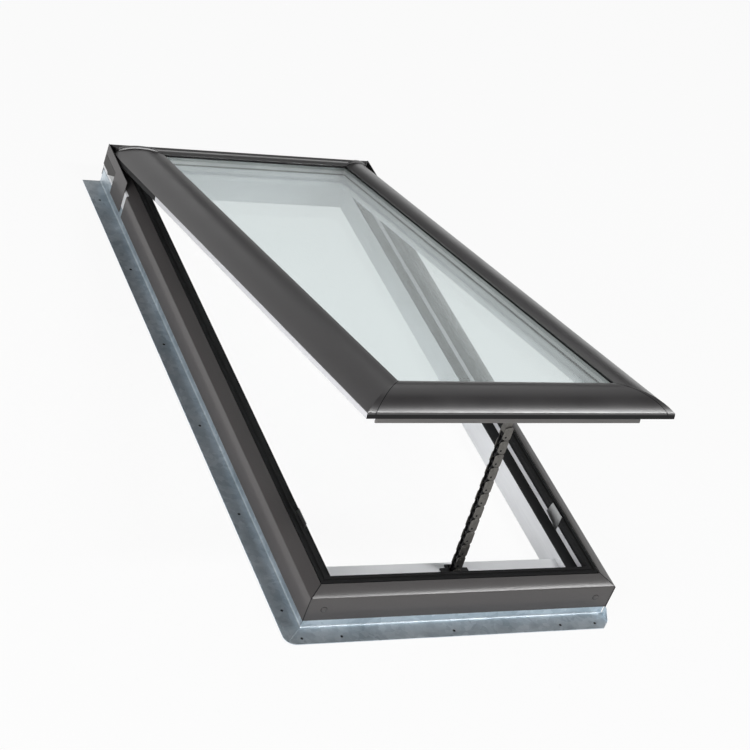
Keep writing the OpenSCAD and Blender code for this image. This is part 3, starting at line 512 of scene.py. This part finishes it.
quarter = np.linspace(0, math.pi / 2, screwCap["points"])
domeRadius = screwCap["radius"] * np.cos(quarter * screwCap["close"])  # a small flat end closes the dome
domeHeight = screwCap["wall"] + (screwCap["height"] - screwCap["wall"]) * np.sin(quarter)
dome = turned(np.vstack([[screwCap["radius"], 0], np.stack([domeRadius, domeHeight], 1)]))
ring = turned([[screwCap["ringIn"], 0], [screwCap["ringIn"], screwCap["ringHeight"]],
               [screwCap["ringOut"], screwCap["ringHeight"]], [screwCap["ringOut"], 0]], hollow=True)
domes = [onFront(dome, side) for side in (-1, 1)]
rings = [onFront(ring, side) for side in (-1, 1)]
makePiece("screwCaps", domes, "frame", claddingPaint, ["cladding_screws"])
makePiece("screwCapRings", rings, "frame", rubber)

# frame gasket: two rounded ribs and a leg down the rebate; each corner's distance inward, height and bend
frameSeal = {
    "outline": [[22.4, 68.0, 0], [22.4, 69.2, 0.3], [24.0, 69.2, 0.3], [24.2, 71.0, 0.8], [28.4, 71.0, 0.8],
                [28.6, 69.0, 0.5], [33.0, 69.0, 0.5], [33.2, 71.3, 0.9], [39.0, 71.3, 1.4], [39.0, 59.0, 0.5],
                [37.0, 59.0, 0], [37.0, 68.0, 0]],
    "bendSteps": 5,
}
sealLoop = rounded(frameSeal["outline"], frameSeal["bendSteps"])
makePiece("frameGasket", [runRound(sealLoop, -halfWidth, halfWidth, front, back)],
          "frame", rubber, ["frame_gasket"])
print("frame gasket done")

# sash covers: round-backed sheet from a rolled outer edge to the glass, with sealed seams
covers = {
    "side": 76.8, "bottom": 66.6, "top": 57.0, "edge": 11.6, "lip": 32.8, "bulge": 9.5, "roll": 2.2,
    "skirt": 9.0, "topSkirt": 3.6, "sheet": 1.8, "corner": 14.0, "tip": 1.5, "arcPoints": 33, "rollSteps": 7,
    "seam": 0.6, "seamBand": 0.7, "topBand": 1.8, "stripProud": 0.12, "stripDepth": 1.6, "underCap": 0.2,
}
# corner caps on the hips at the top
cap = {
    "inset": 6.0, "rise": 3.5, "lap": 1.5, "width": 7.0, "foot": 0.2,
    "endDrop": 0.8, "endPower": 16, "sideDrop": 0.3, "sidePower": 12,
    "rows": (-1, -0.93, -0.8, -0.5, 0, 0.5, 0.8, 0.93, 1),
}


# the arc stands on the chord from outer edge to glass lip; its radius is
# (chord squared / 4 + bulge squared) / (2 x bulge)
def coverPath(width, skirt):
    edge = covers["edge"]
    bulge = covers["bulge"]
    chord = np.array([width, covers["lip"] - edge])
    length = np.linalg.norm(chord)
    radius = (length ** 2 / 4 + bulge ** 2) / (2 * bulge)
    normal = np.array([-chord[1], chord[0]]) / length
    centre = np.array([0, edge]) + chord / 2 - normal * (radius - bulge)
    first = np.arctan2(edge - centre[1], -centre[0])
    last = np.arctan2(covers["lip"] - centre[1], width - centre[0])
    a = np.linspace(first, last, covers["arcPoints"])
    arc = centre + radius * np.stack([np.cos(a), np.sin(a)], 1)
    corners = np.vstack([[0, edge - skirt], arc])
    bends = np.zeros(len(corners))
    bends[1] = covers["roll"]
    return rounded(np.column_stack([corners, bends]), covers["rollSteps"])


def across(loop, x):  # outline of the bottom cover at a place across the sash
    return np.stack([np.broadcast_to(x, len(loop)), window["sashBottom"] + loop[:, 0], loop[:, 1]], -1)


def acrossTop(loop, x):  # outline of the top cover at a place across the sash
    return np.stack([np.broadcast_to(x, len(loop)), window["sashTop"] - loop[:, 0], loop[:, 1]], -1)


def alongSash(loop, u):  # outline of the left cover at a place along the sash
    return np.stack([loop[:, 0] - sashHalf, np.broadcast_to(u, len(loop)), loop[:, 1]], -1)


def bottomHip(inset):  # the hips are straight lines from the outer corners to the glass corners
    return window["sashBottom"] + inset * covers["bottom"] / covers["side"]


def topHip(inset):  # the same at the top
    return window["sashTop"] - inset * covers["top"] / covers["side"]


def cornerSeam(inset):  # straight line across the sash where the bottom cover meets a corner piece
    share = inset / covers["bottom"]
    return (sashHalf - covers["corner"]) * (1 - share) + (window["glassX"] - covers["tip"]) * share


halfSeam = covers["seam"] / 2
sidePath = coverPath(covers["side"], covers["skirt"])
bottomPath = coverPath(covers["bottom"], covers["skirt"])
topPath = coverPath(covers["top"], covers["topSkirt"])
sideLoop, bottomLoop, topLoop = [sheetLoop(path, covers["sheet"]) for path in (sidePath, bottomPath, topPath)]
bottomWide = cornerSeam(bottomLoop[:, 0]) - halfSeam
hipWide = sashHalf - bottomLoop[:, 0] * covers["side"] / covers["bottom"]
topWide = sashHalf - topLoop[:, 0] * covers["side"] / covers["top"] - halfSeam
leftCover = runThrough(alongSash(sideLoop, bottomHip(sideLoop[:, 0])),
                       alongSash(sideLoop, topHip(sideLoop[:, 0]) - halfSeam))
corner = runThrough(across(bottomLoop, -hipWide), across(bottomLoop, -bottomWide - covers["seam"]))
bottomCover = runThrough(across(bottomLoop, -bottomWide), across(bottomLoop, bottomWide))
topCover = runThrough(acrossTop(topLoop, -topWide), acrossTop(topLoop, topWide))

# the caps are the side cover's arc raised by rise x (1 - endDrop x a high power of the place along the arc)
# x (1 - sideDrop x a high power of the place across the cap), so that all their edges are rounded
onArc = (sidePath[:, 0] > cap["inset"]) & (sidePath[:, 0] < covers["side"] - cap["inset"])
arcPath = sidePath[onArc]
placeAlong = np.linspace(-1, 1, len(arcPath))[:, None]
outward = movedPath(arcPath, -1) - arcPath
lift = (1 - cap["endDrop"] * placeAlong ** cap["endPower"]) * outward * cap["rise"]
foot = movedPath(arcPath, cap["foot"])[::-1]
capRows = []
for place in cap["rows"]:
    capLoop = np.vstack([arcPath + lift * (1 - cap["sideDrop"] * place ** cap["sidePower"]), foot])
    step = (place + 1) / 2 * (cap["lap"] + cap["width"])
    capRows.append(alongSash(capLoop, topHip(capLoop[:, 0]) - cap["lap"] + step))
capLeft = runThrough(*capRows)

# dark sealing strips in the seams, a little proud of the sheet
stripBottom = sheetLoop(movedPath(bottomPath, -covers["stripProud"]), covers["stripDepth"])
stripSide = sheetLoop(movedPath(sidePath, -covers["stripProud"]), covers["stripDepth"])
seamPlace = -cornerSeam(stripBottom[:, 0])
bottomStrip = runThrough(across(stripBottom, seamPlace - covers["seamBand"]),
                         across(stripBottom, seamPlace + covers["seamBand"]))
stripEnd = topHip(stripSide[:, 0]) - cap["lap"] + covers["underCap"]
topStrip = runThrough(alongSash(stripSide, stripEnd - covers["topBand"]), alongSash(stripSide, stripEnd))
strips = [bottomStrip, mirrored(bottomStrip), topStrip, mirrored(topStrip)]

makePiece("coverLeft", [leftCover], "sash", coverPaint, ["cover_left"])
makePiece("coverRight", [mirrored(leftCover)], "sash", coverPaint, ["cover_right"])
makePiece("coverCornerLeft", [corner], "sash", coverPaint, ["cover_corner_left"])
makePiece("coverCornerRight", [mirrored(corner)], "sash", coverPaint, ["cover_corner_right"])
makePiece("coverBottom", [bottomCover], "sash", coverPaint, ["cover_bottom"])
makePiece("coverTop", [topCover], "sash", coverPaint, ["cover_top"])
makePiece("coverSeams", strips, "sash", rubber)
makePiece("coverCapLeft", [capLeft], "sash", coverPaint, ["cover_cap_left"])
makePiece("coverCapRight", [mirrored(capLeft)], "sash", coverPaint, ["cover_cap_right"])

# bands on the skirts: pale strips along the sides, and black seals across the front and beside the hinges
skirtBand = {
    "low": 2.4, "frontHigh": 9.2, "sideHigh": 11.2, "proud": 0.35, "back": 1.0, "bend": 0.3, "bendSteps": 4,
    "change": -208.0, "end": 8.0,
}


def bandLoop(high):  # four corners, the two outer ones rounded
    low = skirtBand["low"]
    outer = -skirtBand["proud"]
    inner = skirtBand["back"]
    bend = skirtBand["bend"]
    corners = [[outer, low, bend], [outer, high, bend], [inner, high, 0], [inner, low, 0]]
    return rounded(corners, skirtBand["bendSteps"])


sideBand = bandLoop(skirtBand["sideHigh"])
frontBand = bandLoop(skirtBand["frontHigh"])
frontWide = sashHalf - frontBand[:, 0]
sideStrip = runThrough(alongSash(sideBand, window["sashBottom"] + sideBand[:, 0]),
                       alongSash(sideBand, skirtBand["change"]))
hingeSeal = runThrough(alongSash(sideBand, skirtBand["change"]), alongSash(sideBand, skirtBand["end"]))
frontSeal = runThrough(across(frontBand, -frontWide), across(frontBand, frontWide))
makePiece("sideStrips", [sideStrip, mirrored(sideStrip)], "sash", paleLacquer)
makePiece("skirtSeals", [hingeSeal, mirrored(hingeSeal), frontSeal], "sash", rubber)
print("sash covers done")

# glazing gasket: a crowned bead round the glass; distance inward, height and bend radius of each corner
bead = {"outline": [[-6.5, 28.5, 0], [-6.5, 30.4, 0.3], [0.2, 30.6, 1.0], [1.4, 28.5, 0]]}
beadRun = runRound(rounded(bead["outline"]), -window["glassX"], window["glassX"],
                   window["glassBottom"], window["glassTop"])
makePiece("glazingBead", [beadRun], "sash", rubber, ["glazing_gasket"])

# push chain: pairs of plates, round at the back and with shoulders that butt at the front, on riveted pins
# with rollers
chain = {
    "at": (14.0, -469.0447, 329.3113), "tilt": 5.2,  # cross pin under the sash, and the lean in degrees
    "first": 16.0, "pitch": 12.6, "pins": 24, "fold": 21.0,
    "back": 5.2, "front": 9.0, "end": 6.1, "shoulder": 4.0, "arcPoints": 7,
    "inner": 3.4, "outer": 5.3, "plate": 1.6, "bevel": 0.35,
    "pinRadius": 1.8, "pinHalf": 7.4, "pinCrown": 0.5, "pinSides": 16,
    "roller": 3.5, "rollerHalf": 3.1, "rollerCrown": 0.3, "crownPoints": 4,
}
hangs["chain"] = (chain["at"], chain["tilt"])


def pinHeight(pin):  # pins stand a pitch apart below the cross pin
    return -chain["first"] - pin * chain["pitch"]


# plate outline: a quarter circle at the front shoulder, a step above the pin and a quarter circle round
# the pin's back, and the same upside down a pitch lower
def plateOutline(shrink):
    a = np.linspace(0, math.pi / 2, chain["arcPoints"])
    arc = np.stack([np.cos(a), np.sin(a)], 1)
    shoulder = [chain["front"] - chain["shoulder"], chain["end"] - chain["shoulder"]]
    upper = shoulder + arc * (chain["shoulder"] - shrink)
    step = [[0, chain["end"] - shrink]]
    rear = np.stack([-arc[:, 1], arc[:, 0]], 1) * (chain["back"] - shrink)
    top = np.vstack([upper, step, rear])
    return np.vstack([top, (top * [1, -1] - [0, chain["pitch"]])[::-1]])


# four plate outlines through the thickness, drawn in by the bevel at both faces
def plateShape(pin, inside, side):
    outside = inside + chain["plate"]
    bevel = chain["bevel"]
    rows = []
    for shrink, y in ((bevel, inside), (0, inside + bevel), (0, outside - bevel), (bevel, outside)):
        outline = plateOutline(shrink)
        depth = np.full(len(outline), side * y)
        rows.append(np.stack([outline[:, 0], depth, outline[:, 1] + pinHeight(pin)], 1))
    return runThrough(*rows)


# turned about the pin's own axis, along y, with a quarter circle of the crown's size at each end
def pinShape(pin, radius, half, crown):
    a = np.linspace(0, math.pi / 2, chain["crownPoints"])
    head = np.stack([radius - crown * (1 - np.cos(a)), half - crown + crown * np.sin(a)], 1)
    points, faces = turned(np.vstack([head[::-1] * [1, -1], head]), chain["pinSides"])
    return np.stack([points[:, 0], points[:, 2], points[:, 1] + pinHeight(pin)], 1), faces


pinCount = chain["pins"]
pinForm = (chain["pinRadius"], chain["pinHalf"], chain["pinCrown"])
rollerForm = (chain["roller"], chain["rollerHalf"], chain["rollerCrown"])
outerPlates = [plateShape(pin, chain["outer"], side) for pin in range(0, pinCount - 1, 2) for side in (-1, 1)]
innerPlates = [plateShape(pin, chain["inner"], side) for pin in range(1, pinCount - 1, 2) for side in (-1, 1)]
rivets = [pinShape(pin, *pinForm) for pin in range(0, pinCount, 2)]
pins = [pinShape(pin, *pinForm) for pin in range(1, pinCount, 2)]
rollers = [pinShape(pin, *rollerForm) for pin in range(1, pinCount)]
chainPieces = [
    makePiece("chainOuterPlates", outerPlates, "chain", chainSteel, ["chain_outer_plates"]),
    makePiece("chainInnerPlates", innerPlates, "chain", chainDark, ["chain_inner_plates"]),
    makePiece("chainPins", pins, "chain", chainDark, ["chain_pins"]),
    makePiece("chainRivets", rivets, "chain", chainSteel),
    makePiece("chainRollers", rollers, "chain", chainDark, ["chain_rollers"]),
]
# the chain is drawn into the housing, so what shows of it shortens towards its end fitting; here each chain
# piece only gets a mesh of its own
for piece in chainPieces:
    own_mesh(piece)
print("chain done")


def flatSheet(name, corners, material):  # one face through four corners, in metres
    mesh = bpy.data.meshes.new(name)
    mesh.from_pydata(corners, [], [(0, 1, 2, 3)])
    mesh.materials.append(material)
    made = bpy.data.objects.new(name, mesh)
    bpy.context.scene.collection.objects.link(made)
    return made


# 1 for what the eye sees straight, in a reflection or through glass, and 0 for the rest
def seenDirectly(tree):
    path = add(tree, "LightPath")
    seen = add(tree, "Math", None, {0: path.outputs["Is Camera Ray"], 1: path.outputs["Is Glossy Ray"]},
               operation="MAXIMUM")
    seen = add(tree, "Math", None, {0: seen.outputs["Value"], 1: path.outputs["Is Transmission Ray"]},
               operation="MAXIMUM")
    return seen.outputs["Value"]


# seamless white paper: plain white to the eye, in reflections and through glass, with a soft shadow left
floorSize = {"half": 30.0, "height": -0.0004, "glow": 0.93}
paper, tree, shader = newSurface("whitePaper", {"Base Color": linear("#f2f2f1"), "Roughness": 0.9})
glow = add(tree, "Emission", {"Color": linear("#ffffff"), "Strength": 1.0})
share = add(tree, "Math", {1: floorSize["glow"]}, {0: seenDirectly(tree)}, operation="MULTIPLY")
both = add(tree, "MixShader", None,
           {0: share.outputs["Value"], 1: shader.outputs["BSDF"], 2: glow.outputs["Emission"]})
feed(tree, tree.nodes["Material Output"], {"Surface": both.outputs["Shader"]})
floorSides = ((-1, -1), (1, -1), (1, 1), (-1, 1))
floorCorners = [(x * floorSize["half"], y * floorSize["half"], floorSize["height"]) for x, y in floorSides]
floor = flatSheet("floor", floorCorners, paper)

# studio room: white near the floor and grey overhead, a little dimmer as a light than to the eye
room = {"whiteTo": 0.1, "greyFrom": 0.42, "light": 0.6, "seen": 1.0}
world = bpy.data.worlds.new("studio")
bpy.context.scene.world = world
world.use_nodes = True
tree = world.node_tree
tree.nodes.clear()
level = add(tree, "MapRange", {"To Min": room["light"], "To Max": room["seen"]},
            {"Value": seenDirectly(tree)})
height = add(tree, "SeparateXYZ", None, {0: add(tree, "TexCoord").outputs["Generated"]})
ceiling = add(tree, "ValToRGB", None, {"Fac": height.outputs["Z"]},
              ((room["whiteTo"], "#ffffff"), (room["greyFrom"], "#727272")))
sky = add(tree, "Background", None, {"Color": ceiling.outputs["Color"], "Strength": level.outputs["Result"]})
add(tree, "OutputWorld", None, {"Surface": sky.outputs["Background"]})

# lamps: place, width and depth in metres, strength in watts; paleCard is a weak one that brightens the rear
aim = Vector((0, -0.1, 0.1))
lamps = {
    "keyLeft": {"at": (-3.0, -1.75, 1.0), "size": (2.2, 1.8), "watts": 88},
    "overhead": {"at": (1.72, -1.32, 3.05), "size": (1.2, 0.35), "watts": 46},
    "fillFront": {"at": (0.4, -3.4, 0.4), "size": (2.4, 0.7), "watts": 6},
    "paleCard": {"at": (2.1, 3.0, 2.8), "size": (1.8, 3.0), "watts": 7},
}
for name, box in lamps.items():
    lamp = bpy.data.lights.new(name, "AREA")
    lamp.shape = "RECTANGLE"
    lamp.energy = box["watts"]
    lamp.size, lamp.size_y = box["size"]
    holder = bpy.data.objects.new(name, lamp)
    holder.location = box["at"]
    holder.visible_camera = False
    out = (Vector(box["at"]) - aim).normalized()
    wide = (Vector((1, 0, 0)) - out * out.x).normalized()  # the width lies along the window's front
    holder.rotation_mode = "QUATERNION"
    holder.rotation_quaternion = Matrix([wide, out.cross(wide), out]).transposed().to_quaternion()
    bpy.context.scene.collection.objects.link(holder)

# grey felt flag behind the window on the right: hidden from the camera, it greys what the glass reflects
flag = {"at": (2.524, 3.245), "along": (0.883, -0.469), "half": 1.9, "low": (0.0, 0.15), "high": (1.0, 1.76)}
greyFelt = makeFinish("greyFelt", "#3a3a3a", "#444444", cloudMm=30, rough=(0.9, 1.0),
                      grainMm=1.0, bumpMm=0.1, specular=0.1)
flagReach = np.array([*flag["along"], 0]) * flag["half"]
flagMiddle = np.array([*flag["at"], 0])
flagCorners = flagMiddle + np.outer([-1, 1, 1, -1], flagReach)
flagCorners[:, 2] = [*flag["low"], *flag["high"][::-1]]
greyFlag = flatSheet("greyFlag", flagCorners.tolist(), greyFelt)
greyFlag.visible_camera = False
greyFlag.visible_transmission = False
greyFlag.visible_shadow = False

# the photograph's viewpoint: right, up and back directions of the camera
viewpoint = {
    "at": (-1.637555, -2.535661, 2.117544), "lens": 100.6253, "sensor": 36.0, "farthest": 100.0,
    "right": (0.8872088, -0.3481914, 0.3026933),
    "up": (-0.0107845, 0.6402472, 0.7680932),
    "back": (-0.4612420, -0.6847235, 0.5642779),
}
camera = bpy.data.cameras.new("viewpoint")
camera.lens = viewpoint["lens"]
camera.sensor_width = viewpoint["sensor"]
camera.clip_end = viewpoint["farthest"]
eye = bpy.data.objects.new("viewpoint", camera)
turn = Matrix([viewpoint["right"], viewpoint["up"], viewpoint["back"]]).transposed()
eye.matrix_world = Matrix.Translation(viewpoint["at"]) @ turn.to_4x4()
bpy.context.scene.collection.objects.link(eye)
bpy.context.scene.camera = eye
bpy.context.scene.view_settings.view_transform = "Standard"
print("light and camera done")
